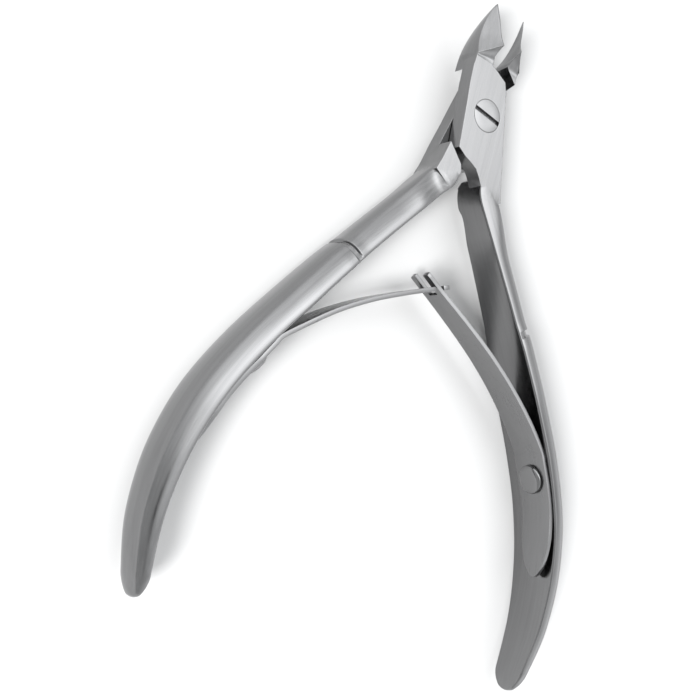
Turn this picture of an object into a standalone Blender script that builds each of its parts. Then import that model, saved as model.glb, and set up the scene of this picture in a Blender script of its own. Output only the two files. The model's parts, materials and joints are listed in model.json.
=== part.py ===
"""Cuticle nipper with a lap joint, bowed D-section handles and a forked double leaf spring.

Axes while building: the pivot axis is +Z through the origin of the "placed" empty, +Y runs along the
bisector of the handles towards the jaw tips and +X is to the right seen from above. The handles are
drawn in the open position that the springs hold them in. All shape dimensions are in millimetres.
"""
import math

import bmesh
import bpy
from mathutils import Matrix, Vector

MM = 0.001

# ---------------------------------------------------------------- driving dimensions (mm)
PIVOT_Y = 31.29            # distance of the pivot from the middle of the nipper's length
REST_Z = 4.77              # height of the joint plane above the table when it lies on its side
JOINT_HALF = 2.7           # half thickness of the lap joint
LAP_GAP = 0.08             # half of the running gap between the two lap plates
JAW_ANGLE = math.radians(9.0)   # each cutting edge stands this far from the bisector

SCREW_R = 1.50
SCREW_HEAD_R = 2.50
SCREW_HEAD_T = 1.25
SCREW_CLEAR = 0.06
SCREW_SLOT = (0.66, 0.5)  # width, depth

SPRING_T = 0.65            # leaf thickness
SPRING_OFF = 0.08          # air between a leaf and the handle it is screwed to
SPRING_SCREW_S = {1: 44.7, -1: 43.6}   # distance of each spring screw along its handle's inner face
SPRING_HEAD_R = 2.25
SPRING_HEAD_T = 0.85
SPRING_SHANK_R = 0.85
SPRING_SHANK_L = 2.0

# inner face of the right handle, seen from above: from inside the joint to the rounded end
HANDLE_PATH = [(1.9, -11.6), (9.8, -22.0), (15.6, -30.0), (21.0, -38.0), (26.1, -46.0),
               (30.0, -54.0), (32.2, -62.0), (32.8, -70.0), (31.8, -78.0), (31.4, -80.0)]
# distance along that face, width across it (Z), depth behind it
HANDLE_SIZE = [(0.0, 5.38, 4.0), (10.0, 6.2, 3.8), (21.9, 7.5, 3.6), (22.9, 8.1, 3.8), (32.0, 9.2, 3.8),
               (42.0, 9.56, 3.7), (52.0, 9.4, 3.7), (60.0, 8.6, 3.5), (69.0, 7.2, 2.9), (77.6, 5.2, 1.9)]
GROOVE_S = 22.4            # ring groove between the shank and the grip
GROOVE_W = 0.9
GROOVE_D = 0.4
END_ROUND = 3.0
ROOT_REACH = 1.2           # how far the handle runs on into the joint
ROOT_ROUND = (3.4, 1.6)    # its inner face curves into the joint over this length, by this much
ROOT_STEP = 0.17           # depth of the hollow behind the block, as a share of the half height
HANDLE_STEPS = 44
SECTION_ARC = 15

# lap plate of the upper half, anticlockwise from its top right corner
PLATE = [(1.75, 6.4), (-0.4, 7.4), (-1.15, 7.7), (-1.5, 7.93), (-4.57, 7.86), (-4.72, 6.2), (-4.6, 3.5),
         (-4.25, 0.5), (-3.55, -6.7), (-2.1, -7.5), (-0.65, -8.0), (0.45, -8.5), (1.25, -9.4),
         (2.15, -10.6), (3.4, -11.4), (5.5, -9.2), (5.3, -6.9), (4.7, -4.5), (4.1, -2.2), (3.6, 0.0),
         (3.1, 2.0), (2.6, 4.0), (2.1, 5.6)]
# the part of the shank that lies beside the other half's plate
SHANK_BLOCK = [(5.2, -6.6), (2.45, -9.0), (2.05, -10.1), (3.0, -12.4), (3.55, -13.1), (6.5, -11.45),
               (5.95, -9.8)]
# end wall of the jaw block where it passes in front of the other half's plate
JAW_WALL = ((-3.75, 6.85), (-1.6, 8.75))

# rails of the left jaw from heel to tip, as cubic curves
JAW_RIDGE = {1: [(-4.6, 8.2, 2.62), (-4.7, 11.6, 1.9), (-4.15, 14.7, 1.55), (-2.84, 17.5, 1.88)],
             -1: [(-3.8, 9.0, 2.62), (-3.75, 12.0, 2.2), (-3.3, 15.0, 1.75), (-2.84, 17.5, 1.88)]}
JAW_EDGE = {1: [(-1.66, 10.4, 4.25), (-1.98, 12.8, 3.75), (-2.5, 15.4, 2.9), (-2.8, 17.6, 2.0)],
            -1: [(-1.75, 11.1, 4.3), (-2.02, 13.2, 3.75), (-2.5, 15.4, 2.9), (-2.8, 17.6, 2.0)]}
JAW_ROOT_TOP = {1: -4.66, -1: -3.65}
JAW_OUTER = [(-4.5, 8.8, -1.8), (-4.45, 11.6, -1.25), (-3.75, 14.9, -0.1), (-2.86, 17.5, 1.7)]
JAW_INNER = [(-1.75, 9.2, -1.8), (-3.6, 11.3, -1.3), (-3.65, 14.5, -0.1), (-2.82, 17.5, 1.78)]
JAW_STEPS = 9

# spring leaf of the right handle: from its tail end, along the handle, to the crossing and past it
LEAF_LENGTHS = {"tail": 15.2, "flat": 4.6}
LEAF_FREE = [(21.5, -40.75), (16.9, -36.95), (11.8, -33.5), (6.2, -30.35), (0.0, -27.2), (-2.5, -25.95)]
LEAF_PAST = 2.8            # how far the prongs reach past the crossing
LEAF_TIP_HALF = 2.0
LEAF_ROOT_HALF = 3.1
LEAF_TAIL_HALF = 2.9
TONGUE = 7.0               # length of the rounded tongue at the tail
# how far each leaf sits towards the upper side at its tail, its screw and the crossing
LEAF_LEAN = {1: (1.7, 1.2, 0.0), -1: (0.2, 1.4, 0.0)}
TAIL_AIR = {1: 0.75, -1: 0.2}   # extra air between a leaf's tail and its handle
FORK_HALF_GAP = 0.9
FORK_DEPTH = 1.0           # from the crossing down to the bottom of the fork
NECK_HALF = 0.6
NECK_ENDS = (-0.95, 0.6)   # neck of the T-shaped tongue, measured from the crossing
TONGUE_END = 1.8


# ---------------------------------------------------------------- small helpers
def clear_scene():
    for item in list(bpy.data.objects):
        bpy.data.objects.remove(item, do_unlink=True)


def make_collection(name):
    collection = bpy.data.collections.new(name)
    bpy.context.scene.collection.children.link(collection)
    return collection


def lerp(a, b, t):
    return a + (b - a) * t


def smooth(t):
    t = min(max(t, 0.0), 1.0)
    return t * t * (3.0 - 2.0 * t)


def cubic(points, t):
    """Point on the cubic curve with the given four control points."""
    a, b, c, d = (Vector(p) for p in points)
    s = 1.0 - t
    return a * s ** 3 + b * 3 * s * s * t + c * 3 * s * t * t + d * t ** 3


class Path:
    """Smooth curve through points in the nipper's plane, measured along its length."""

    def __init__(self, points, fine=24):
        pts = [Vector(p) for p in points]
        pts = [pts[0] * 2 - pts[1]] + pts + [pts[-1] * 2 - pts[-2]]
        self.points = []
        for i in range(1, len(pts) - 2):
            for k in range(fine):
                self.points.append(self.spline(pts[i - 1:i + 3], k / fine))
        self.points.append(pts[-2])
        self.along = [0.0]
        for a, b in zip(self.points, self.points[1:]):
            self.along.append(self.along[-1] + (b - a).length)
        self.length = self.along[-1]

    @staticmethod
    def spline(p, t):
        a, b, c, d = p
        return 0.5 * (b * 2 + (c - a) * t + (a * 2 - b * 5 + c * 4 - d) * t * t
                      + (b * 3 - a - c * 3 + d) * t ** 3)

    def at(self, s):
        """Position and unit tangent at distance s."""
        s = min(max(s, 0.0), self.length)
        i = 0
        while i < len(self.along) - 2 and self.along[i + 1] < s:
            i += 1
        a, b = self.points[i], self.points[i + 1]
        t = (s - self.along[i]) / max(self.along[i + 1] - self.along[i], 1e-9)
        lo, hi = self.points[max(i - 1, 0)], self.points[min(i + 2, len(self.points) - 1)]
        return a.lerp(b, t), (hi - lo).normalized()


def table(rows, s):
    """Row of a small table, interpolated by its first column."""
    if s <= rows[0][0]:
        return rows[0][1:]
    for low, high in zip(rows, rows[1:]):
        if s <= high[0]:
            t = (s - low[0]) / (high[0] - low[0])
            return tuple(lerp(a, b, t) for a, b in zip(low[1:], high[1:]))
    return rows[-1][1:]


def material(name, colour, roughness):
    mat = bpy.data.materials.new(name)
    mat.use_nodes = True
    shader = mat.node_tree.nodes["Principled BSDF"]
    shader.inputs["Base Color"].default_value = (*colour, 1.0)
    shader.inputs["Metallic"].default_value = 1.0
    shader.inputs["Roughness"].default_value = roughness
    return mat


def new_object(name, bm, collection, side=1, flip=1, mat=None, parent=None, origin=(0, 0, 0)):
    """Object from a bmesh in millimetres; side mirrors X, flip mirrors Z, origin is its own zero."""
    for vert in bm.verts:
        vert.co.x = vert.co.x * side
        vert.co.z = vert.co.z * flip
        vert.co = (vert.co - Vector(origin)) * MM
    bmesh.ops.recalc_face_normals(bm, faces=bm.faces[:])
    if bm.calc_volume(signed=True) < 0:
        bmesh.ops.reverse_faces(bm, faces=bm.faces[:])
    mesh = bpy.data.meshes.new(name)
    bm.to_mesh(mesh)
    bm.free()
    obj = bpy.data.objects.new(name, mesh)
    collection.objects.link(obj)
    if mat:
        mesh.materials.append(mat)
    if parent:
        obj.parent = parent
    obj.location = Vector(origin) * MM
    return obj


def bridge(bm, rings, fan=False):
    """Closed tube through rings of equal length, its ends flat or fanned from their middles."""
    rows = [[bm.verts.new(p) for p in ring] for ring in rings]
    count = len(rows[0])
    for low, high in zip(rows, rows[1:]):
        for i in range(count):
            j = (i + 1) % count
            bm.faces.new((low[i], low[j], high[j], high[i]))
    for row in (rows[0], rows[-1]):
        if not fan:
            bm.faces.new(row)
            continue
        middle = bm.verts.new(sum((v.co for v in row), Vector()) / count)
        for i in range(count):
            bm.faces.new((row[i], row[(i + 1) % count], middle))
    return bm


def prism(outline, z_low, z_high):
    bm = bmesh.new()
    rings = [[(x, y, z) for x, y in outline] for z in (z_low, z_high)]
    return bridge(bm, rings)


def disc(radius, z_low, z_high, segments=40, centre=(0.0, 0.0)):
    outline = []
    for i in range(segments):
        a = 2 * math.pi * i / segments
        outline.append((centre[0] + radius * math.cos(a), centre[1] + radius * math.sin(a)))
    return prism(outline, z_low, z_high)


def cut(obj, tool, operation):
    modifier = obj.modifiers.new(operation.lower() + " " + tool.name, "BOOLEAN")
    modifier.operation = operation
    modifier.solver = "EXACT"
    modifier.object = tool


# ---------------------------------------------------------------- the two halves
def handle_section(width, depth, groove, square, plate_side):
    """D-shaped ring: flat towards the other handle, round on the outside, as (z, depth) pairs.

    Near the joint it is squarer on the side of the lap plate, so that the plate runs on into the shank.
    """
    edge = 0.3
    half = width / 2
    ring = [(lerp(half - edge, edge - half, i / 4), 0.0) for i in range(5)]
    for i in range(SECTION_ARC + 1):
        a = math.pi * (1.0 - i / SECTION_ARC)
        power = 0.85 - square * (0.5 if math.cos(a) * plate_side > 0 else 0.38)
        sunk = groove * min(1.0, 5.0 * math.sin(a))
        z = (half - sunk) * math.copysign(abs(math.cos(a)) ** power, math.cos(a))
        ring.append((z, edge + (depth - sunk - edge) * max(math.sin(a), 0.0) ** power))
    return ring


def handle_stations(length):
    """Distances along the handle, crowded at its root, the ring groove and the rounded end."""
    root = [share * ROOT_ROUND[0] - ROOT_REACH for share in (0.0, 0.04, 0.12, 0.24, 0.42, 0.68)] + [1.6, 2.3]
    stops = [GROOVE_S - 0.5 * GROOVE_W - 0.12, GROOVE_S - 0.5 * GROOVE_W + 0.08,
             GROOVE_S + 0.5 * GROOVE_W - 0.08, GROOVE_S + 0.5 * GROOVE_W + 0.12]
    body = [GROOVE_S * i / 12 for i in range(2, 12)]
    rest = length - END_ROUND - GROOVE_S - 1.2
    body += [GROOVE_S + 1.2 + rest * i / (HANDLE_STEPS - 18) for i in range(HANDLE_STEPS - 17)]
    end = [length - END_ROUND * (1.0 - math.sin(math.pi * i / 14)) for i in range(1, 7)]
    return sorted(root + stops + body + end)


def handle_mesh(plate_side):
    path = Path(HANDLE_PATH)
    bm = bmesh.new()
    rings = []
    for s in handle_stations(path.length):
        width, depth = table(HANDLE_SIZE, s)
        groove = GROOVE_D if abs(s - GROOVE_S) < 0.5 * GROOVE_W else 0.0
        point, tangent = path.at(s)
        outward = Vector((-tangent.y, tangent.x))
        closing = max(0.0, 1.0 - (path.length - s) / END_ROUND)
        shrink = math.sqrt(max(1.0 - closing * closing, 0.02))
        point = point + tangent * min(s, 0.0)
        root = max(0.0, 1.0 - (s + ROOT_REACH) / ROOT_ROUND[0])
        inset = ROOT_ROUND[1] * (1.0 - math.sqrt(1.0 - root * root))
        ring = []
        for z, n in handle_section(width, depth, groove, 1.0 - smooth((s - 3.0) / 9.0), plate_side):
            n = inset + n * (depth - inset) / depth
            n = lerp(0.42 * depth, n, shrink)
            if z * plate_side < 0:
                z *= 1.0 - ROOT_STEP * smooth((s - 1.8) / 1.6) * (1.0 - smooth((s - 3.4) / 5.0))
            ring.append((point.x + outward.x * n, point.y + outward.y * n, z * shrink))
        rings.append(ring)
    return bridge(bm, rings)


def jaw_ring(ridge, edge, inner, outer, hollow, belly):
    """Ring of a jaw from its outer bottom corner, up the wall, over the front bevel and back inside."""
    outer, ridge, edge, inner = Vector(outer), Vector(ridge), Vector(edge), Vector(inner)
    ring = [outer, outer.lerp(ridge, 0.5) + Vector((-belly, 0, 0)), ridge]
    for t in (0.33, 0.66):
        ring.append(ridge.lerp(edge, t) + Vector((0, 0, -hollow * 4 * t * (1 - t))))
    ring.append(edge)
    for t in (0.25, 0.5, 0.75):
        ring.append(edge.lerp(inner, t) + Vector((-belly * 3 * t * (1 - t), 0, 0)))
    ring.append(inner)
    return ring


def jaw_mesh(side, root_bottom):
    """Left jaw with the block that joins it to its lap plate."""
    top = JOINT_HALF - 0.03
    lean = math.tan(JAW_ANGLE)
    wide = JAW_ROOT_TOP[side]
    ridge = JAW_RIDGE[side]
    edge = JAW_EDGE[side]
    rings = [
        jaw_ring((wide, 5.0, top), (-1.3, 5.0, top), (-1.3, 5.0, root_bottom), (-4.4, 5.0, root_bottom), 0, 0),
        jaw_ring((wide, 6.6, top), (-1.3, 7.0, top), (-1.3, 7.0, root_bottom), (-4.45, 6.6, root_bottom), 0, 0),
    ]
    heel = Vector(edge[0])
    for t in (0.0, 0.5, 0.8, 0.93):
        rise = (heel.z - 2.62) * t ** 6
        rings.append(jaw_ring(
            (lerp(wide + 0.05, ridge[0][0], t), lerp(7.9, ridge[0][1], t), lerp(top, 2.62, t)),
            (-lerp(8.1, heel.y, t) * lean, lerp(8.1, heel.y, t), lerp(top, 2.62, t) + rise),
            (lerp(-8.1 * lean, JAW_INNER[0][0], t), lerp(8.1, JAW_INNER[0][1], t), lerp(-1.92, JAW_INNER[0][2], t)),
            (-4.5, lerp(7.9, JAW_OUTER[0][1], t), lerp(-1.92, JAW_OUTER[0][2], t)), 0.16 * t, 0.28 * t))
    for i in range(JAW_STEPS + 1):
        t = i / JAW_STEPS
        ring = jaw_ring(cubic(ridge, t), cubic(edge, t), cubic(JAW_INNER, t), cubic(JAW_OUTER, t),
                        0.16 * (1 - t), 0.28 * (1 - t))
        rings.append(ring)
    bm = bmesh.new()
    bridge(bm, rings, fan=True)
    bmesh.ops.triangulate(bm, faces=bm.faces[:])
    return bm


def wall_cutter():
    """Everything under the joint plane that lies behind the jaw block's end wall."""
    low, high = Vector(JAW_WALL[0]), Vector(JAW_WALL[1])
    run = (high - low).normalized()
    a = low - run * 6.0
    b = high + run * 4.0
    return prism([tuple(a), tuple(b), (5.0, b.y), (5.0, a.y)], -6.0, LAP_GAP + 0.3)


def half(name, side, parts, cutters, mat, parent, spring_screw):
    """side +1: right handle, upper lap plate and left jaw. side -1: its opposite number."""
    flip = side
    body = new_object(name, handle_mesh(side), parts, side, 1, mat, parent)
    plate = new_object(name + "_plate", prism(PLATE, LAP_GAP, JOINT_HALF), cutters, side, flip, None, parent)
    block = new_object(name + "_block", prism(SHANK_BLOCK, -JOINT_HALF, JOINT_HALF), cutters, side, flip,
                       None, parent)
    jaw = new_object(name + "_jaw", jaw_mesh(side, -2.05 if side > 0 else -JOINT_HALF + 0.03), cutters, side, 1,
                     None, parent)
    wall = new_object(name + "_jaw_wall", wall_cutter(), cutters, side, flip, None, parent)
    cut(jaw, wall, "DIFFERENCE")
    for tool in (plate, block, jaw):
        cut(body, tool, "UNION")
    hole = new_object(name + "_pivot_hole", disc(SCREW_R + SCREW_CLEAR, -9.0, 9.0), cutters, 1, 1, None, parent)
    cut(body, hole, "DIFFERENCE")
    if side > 0:
        sink = disc(SCREW_HEAD_R + SCREW_CLEAR, JOINT_HALF - SCREW_HEAD_T - 0.06, 9.0)
        cut(body, new_object(name + "_head_sink", sink, cutters, 1, 1, None, parent), "DIFFERENCE")
    pocket = disc(SPRING_SHANK_R + SCREW_CLEAR, -0.5, SPRING_SHANK_L + 0.15, 24)
    cut(body, placed(pocket, name + "_spring_hole", cutters, side, parent, spring_screw), "DIFFERENCE")
    return body


# ---------------------------------------------------------------- screws and leaves
def frame_at(path, s):
    """Matrix whose +Z looks into the right handle at distance s along its inner face."""
    point, tangent = path.at(s)
    into = Vector((-tangent.y, tangent.x, 0.0))
    along = Vector((tangent.x, tangent.y, 0.0))
    across = into.cross(along)
    rotation = Matrix((along, across, into)).transposed().to_4x4()
    return Matrix.Translation(Vector((point.x, point.y, 0.0))) @ rotation


def placed(bm, name, collection, side, parent, frame, mat=None):
    """Object drawn in a local frame on the right handle and mirrored to its own side."""
    bmesh.ops.transform(bm, matrix=frame, verts=bm.verts[:])
    origin = frame.translation.copy()
    origin.x = origin.x * side
    return new_object(name, bm, collection, side, 1, mat, parent, origin)


def turned(profile, segments):
    """Solid of revolution about Z from (radius, z) pairs, the first and last being flat ends."""
    bm = bmesh.new()
    rings = []
    for radius, z in profile:
        ring = []
        for i in range(segments):
            a = 2 * math.pi * i / segments
            ring.append((radius * math.cos(a), radius * math.sin(a), z))
        rings.append(ring)
    return bridge(bm, rings)


def slot_box(width, length, z_low, z_high, angle):
    """Bar across the pivot screw's head."""
    corner = [(-length, -width / 2), (length, -width / 2), (length, width / 2), (-length, width / 2)]
    c, s = math.cos(angle), math.sin(angle)
    return prism([(x * c - y * s, x * s + y * c) for x, y in corner], z_low, z_high)


def pivot_screw(parts, cutters, mat, parent):
    top = JOINT_HALF + 0.02
    profile = [(SCREW_R - 0.15, -JOINT_HALF + 0.02), (SCREW_R, -JOINT_HALF + 0.17),
               (SCREW_R, JOINT_HALF - SCREW_HEAD_T), (SCREW_HEAD_R, JOINT_HALF - SCREW_HEAD_T),
               (SCREW_HEAD_R, top - 0.1), (SCREW_HEAD_R - 0.1, top)]
    screw = new_object("pivot_screw", turned(profile, 40), parts, 1, 1, mat, parent)
    slot = slot_box(SCREW_SLOT[0], 4.0, top - SCREW_SLOT[1], top + 1.0, math.radians(-7))
    cut(screw, new_object("pivot_screw_slot", slot, cutters, 1, 1, None, parent), "DIFFERENCE")
    return screw


def spring_screw(name, side, parts, mat, parent, frame):
    """Low round head on the leaf with its shank in the handle."""
    base = -(SPRING_OFF * 2 + SPRING_T)
    top = base - SPRING_HEAD_T
    profile = [(SPRING_HEAD_R - 1.0, top), (SPRING_HEAD_R - 0.5, top + 0.08), (SPRING_HEAD_R - 0.13, top + 0.3),
               (SPRING_HEAD_R, top + 0.6), (SPRING_HEAD_R, base), (SPRING_SHANK_R, base),
               (SPRING_SHANK_R, SPRING_SHANK_L)]
    return placed(turned(profile, 32), name, parts, side, parent, frame, mat)


def leaf_path(side):
    """Outer (handle side) face of a leaf, from its tail end to past the crossing, as on the right."""
    handle = Path(HANDLE_PATH)
    points = []
    tail = SPRING_SCREW_S[side] + LEAF_LENGTHS["tail"]
    flat = SPRING_SCREW_S[side] - LEAF_LENGTHS["flat"]
    steps = 12
    for i in range(steps + 1):
        s = lerp(tail, flat, i / steps)
        point, tangent = handle.at(s)
        away = SPRING_OFF + TAIL_AIR[side] * smooth((s - SPRING_SCREW_S[side] - 4.0) / 9.0)
        points.append((point.x + tangent.y * away, point.y - tangent.x * away))
    return Path(points + LEAF_FREE, 10)


def leaf_rows(path, forked):
    """Stations (distance, half widths outside and inside, which of the three strips are solid)."""
    crossing = path.length - LEAF_PAST
    screw = LEAF_LENGTHS["tail"]
    rows = []
    for i in range(8):
        a = math.pi / 2 * i / 7
        s = TONGUE * (1 - math.cos(a))
        left = 1.0 - s / TONGUE
        rows.append((s, 0.3 + (LEAF_TAIL_HALF - 0.3) * (1.0 - left * left) ** 0.6, "all"))
    for i in range(1, 8):
        rows.append((lerp(TONGUE, screw, i / 7), lerp(LEAF_TAIL_HALF, LEAF_ROOT_HALF, smooth(i / 7)), "all"))
    rows.append((screw + 1.5, LEAF_ROOT_HALF, "all"))
    rows.append((screw + 3.0, LEAF_ROOT_HALF, "all"))
    last = crossing - FORK_DEPTH if forked else crossing + NECK_ENDS[0]
    for i in range(1, 13):
        t = i / 12
        rows.append((lerp(screw + 3.0, last, t), lerp(LEAF_ROOT_HALF, LEAF_TIP_HALF, t), "all"))
    if forked:
        rows.append((path.length, LEAF_TIP_HALF, "sides"))
    else:
        rows.append((crossing + NECK_ENDS[1], LEAF_TIP_HALF, "middle"))
        rows.append((crossing + TONGUE_END, LEAF_TIP_HALF, "all"))
    return rows


def leaf_mesh(path, side):
    """Bent strip built cell by cell, with the fork or the T-shaped tongue at its end."""
    bm = bmesh.new()
    forked = side > 0
    screw = LEAF_LENGTHS["tail"]
    crossing = path.length - LEAF_PAST
    at_tail, at_screw, at_crossing = LEAF_LEAN[side]
    gap = FORK_HALF_GAP if forked else NECK_HALF
    rows = leaf_rows(path, forked)
    grid = []
    for s, wide, _ in rows:
        point, tangent = path.at(s)
        inward = Vector((-tangent.y, tangent.x))
        if s < screw:
            lean = lerp(at_tail, at_screw, s / screw)
        else:
            lean = lerp(at_screw, at_crossing, min((s - screw) / (crossing - screw), 1.0))
        columns = [lean - wide, lean - min(gap, wide * 0.6), lean + min(gap, wide * 0.6), lean + wide]
        faces = []
        for n in (0.0, SPRING_T):
            faces.append([bm.verts.new((point.x + inward.x * n, point.y + inward.y * n, z)) for z in columns])
        grid.append(faces)
    solid = {}
    for i in range(len(rows) - 1):
        for j in range(3):
            kind = rows[i + 1][2]
            solid[i, j] = kind == "all" or (kind == "middle") == (j == 1)
    for (i, j), is_solid in solid.items():
        if not is_solid:
            continue
        for k in (0, 1):
            bm.faces.new((grid[i][k][j], grid[i][k][j + 1], grid[i + 1][k][j + 1], grid[i + 1][k][j]))
        walls = {(i - 1, j): ((i, j), (i, j + 1)), (i + 1, j): ((i + 1, j), (i + 1, j + 1)),
                 (i, j - 1): ((i, j), (i + 1, j)), (i, j + 1): ((i, j + 1), (i + 1, j + 1))}
        for neighbour, (a, b) in walls.items():
            if not solid.get(neighbour, False):
                bm.faces.new((grid[a[0]][0][a[1]], grid[b[0]][0][b[1]], grid[b[0]][1][b[1]], grid[a[0]][1][a[1]]))
    loose = [v for v in bm.verts if not v.link_faces]
    bmesh.ops.delete(bm, geom=loose, context="VERTS")
    return bm


def spring_leaf(name, side, parts, cutters, mat, parent, frame):
    path = leaf_path(side)
    hinge, _ = path.at(LEAF_LENGTHS["tail"] + 4.0)
    origin = Vector((hinge.x * side, hinge.y, 0.0))
    leaf = new_object(name, leaf_mesh(path, side), parts, side, 1, mat, parent, origin)
    hole = disc(SPRING_SHANK_R + SCREW_CLEAR, -3.0, 1.0, 24)
    cut(leaf, placed(hole, name + "_hole", cutters, side, parent, frame), "DIFFERENCE")
    return leaf


def main():
    clear_scene()
    parts = make_collection("cuticle_nipper")
    cutters = make_collection("cutters")
    base = bpy.data.objects.new("placed", None)
    base.location = (0.0, PIVOT_Y * MM, REST_Z * MM)
    parts.objects.link(base)

    satin = material("satin_steel", (0.62, 0.62, 0.63), 0.26)
    screw_steel = material("screw_steel", (0.66, 0.66, 0.67), 0.22)
    spring_steel = material("spring_steel", (0.50, 0.50, 0.51), 0.34)

    frames = {}
    for side in (1, -1):
        lift = Matrix.Translation((0.0, 0.0, LEAF_LEAN[side][1]))
        frames[side] = lift @ frame_at(Path(HANDLE_PATH), SPRING_SCREW_S[side])
    half("upper_half", 1, parts, cutters, satin, base, frames[1])
    half("lower_half", -1, parts, cutters, satin, base, frames[-1])
    pivot_screw(parts, cutters, screw_steel, base)
    for name, side in (("right", 1), ("left", -1)):
        spring_leaf(name + "_spring_leaf", side, parts, cutters, spring_steel, base, frames[side])
        spring_screw(name + "_spring_screw", side, parts, screw_steel, base, frames[side])
    for tool in cutters.objects:
        tool.hide_render = True
        tool.display_type = "WIRE"


main()
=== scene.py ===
"""Looks of the cuticle nipper: satin ground stainless steel on a pale table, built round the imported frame.

Every shape is drawn in millimetres about the pivot (+Y towards the jaw tips, +Z along the pivot axis),
then moved to the frame's pivot. The right hand shape is drawn first and the left one is its mirror.
"""
import json
import math

import bmesh
import bpy
import numpy as np
from mathutils import Matrix, Vector


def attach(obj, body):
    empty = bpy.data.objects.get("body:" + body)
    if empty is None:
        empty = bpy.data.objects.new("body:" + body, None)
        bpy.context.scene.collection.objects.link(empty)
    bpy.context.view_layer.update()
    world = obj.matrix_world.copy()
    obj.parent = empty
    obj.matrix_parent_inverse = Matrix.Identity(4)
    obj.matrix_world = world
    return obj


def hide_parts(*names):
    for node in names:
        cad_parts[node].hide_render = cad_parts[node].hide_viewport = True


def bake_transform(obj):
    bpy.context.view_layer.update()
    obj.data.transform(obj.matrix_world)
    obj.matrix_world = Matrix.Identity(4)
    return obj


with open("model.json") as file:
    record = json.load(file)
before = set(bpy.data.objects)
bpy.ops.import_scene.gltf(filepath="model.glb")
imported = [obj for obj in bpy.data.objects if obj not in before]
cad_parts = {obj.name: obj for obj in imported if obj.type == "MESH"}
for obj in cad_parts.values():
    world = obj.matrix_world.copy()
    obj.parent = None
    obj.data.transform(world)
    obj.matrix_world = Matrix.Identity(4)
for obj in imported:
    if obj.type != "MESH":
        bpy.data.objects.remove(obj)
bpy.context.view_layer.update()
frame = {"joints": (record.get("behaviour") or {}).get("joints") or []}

MM = 0.001
JOINT = {joint["name"]: Vector(joint["pos_m"]) for joint in frame["joints"]}
PIVOT = JOINT["pivot"]

# ---------------------------------------------------------------- joint and pivot screw (mm)
JOINT_HALF = 2.7          # half of the joint's thickness
LAP_GAP = 0.08            # air on each side of the joint plane
JAW_ANGLE = math.radians(9.0)   # each inner jaw face leans this far from the middle line

SCREW_R = 1.50
SCREW_HEAD_R = 2.50
SCREW_HEAD_T = 1.25
SCREW_CLEAR = 0.06        # running fit of a shank in its hole
SINK_CLEAR = 0.015        # visible ring between the head and its sink
SCREW_SLOT = (0.66, 0.5)  # width, depth
SLOT_FLARE = (0.36, 0.54)   # half width of the slot at its floor and at its mouth, as parts of its width
SCREW_SLOT_ANGLE = math.radians(-7)

# ---------------------------------------------------------------- spring screws (mm)
SPRING_T = 0.65           # thickness of a leaf
SPRING_OFF = 0.08         # air between leaf and handle at the screw
SPRING_SCREW_S = {1: 44.7, -1: 43.6}   # distance along the handle
SPRING_HEAD_R = 2.25
SPRING_HEAD_T = 0.85
SPRING_RIM = (1.0, 0.6)   # width and drop of the head's round rim
SPRING_SHANK_R = 0.85
SPRING_SHANK_L = 2.0

# ---------------------------------------------------------------- handles (mm)
# flat inner face of the right handle, from its root in the joint to its end
HANDLE_PATH = [(1.9, -11.6), (9.8, -22.0), (15.6, -30.0), (21.0, -38.0), (26.1, -46.0),
               (30.0, -54.0), (32.2, -62.0), (32.8, -70.0), (31.8, -78.0), (31.4, -80.0)]
# distance along the handle, width across the flat, depth of the round side
HANDLE_SIZE = [(0.0, 5.38, 4.0), (10.0, 6.2, 3.8), (21.9, 7.5, 3.6), (22.9, 8.1, 3.8), (32.0, 9.2, 3.8),
               (42.0, 9.56, 3.7), (52.0, 9.4, 3.7), (60.0, 8.6, 3.5), (69.0, 7.2, 2.9), (77.6, 5.2, 1.9)]
HANDLE_EDGE = 0.3         # radius between the flat and the round side
SECTION_POWER = 0.85      # below 1 the round side is fuller than an ellipse
SQUARE_POWER = {1: 0.5, -1: 0.38}   # taken off that power at the joint, on the plate side and the other one
SQUARE_FADE = (3.0, 9.0)  # start and length of the change from squarish to round
GROOVE_S = 22.4
GROOVE_W = 0.9
GROOVE_D = 0.4
GROOVE_LIP = 0.24
END_ROUND = 3.0           # length of the rounded end
END_DEEP = 0.42           # part of the depth about which the end closes
ROOT_REACH = 1.2          # how far the handle runs into the shank block
ROOT_ROUND = (3.4, 1.6)   # length and depth of its rounded root
ROOT_STEP = 0.17          # hollow just behind the block, as a part of the half width
ROOT_STEP_IN = (1.8, 1.6)    # start and length of its near slope
ROOT_STEP_OUT = (3.4, 5.0)   # start and length of its far slope

# ---------------------------------------------------------------- lap plates and shank blocks (mm)
PLATE = [(1.75, 6.4), (-0.4, 7.4), (-1.15, 7.7), (-1.5, 7.93), (-4.57, 7.86), (-4.72, 6.2), (-4.6, 3.5),
         (-4.25, 0.5), (-3.55, -6.7), (-2.1, -7.5), (-0.65, -8.0), (0.45, -8.5), (1.25, -9.4),
         (2.15, -10.6), (3.4, -11.4), (5.5, -9.2), (5.3, -6.9), (4.7, -4.5), (4.1, -2.2), (3.6, 0.0),
         (3.1, 2.0), (2.6, 4.0), (2.1, 5.6)]
SHANK_BLOCK = [(5.2, -6.6), (2.45, -9.0), (2.05, -10.1), (3.0, -12.4), (3.55, -13.1), (6.5, -11.45),
               (5.95, -9.8)]
JAW_WALL = ((-3.75, 6.85), (-1.6, 8.75))   # end wall of the jaw block, under the joint plane

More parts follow.
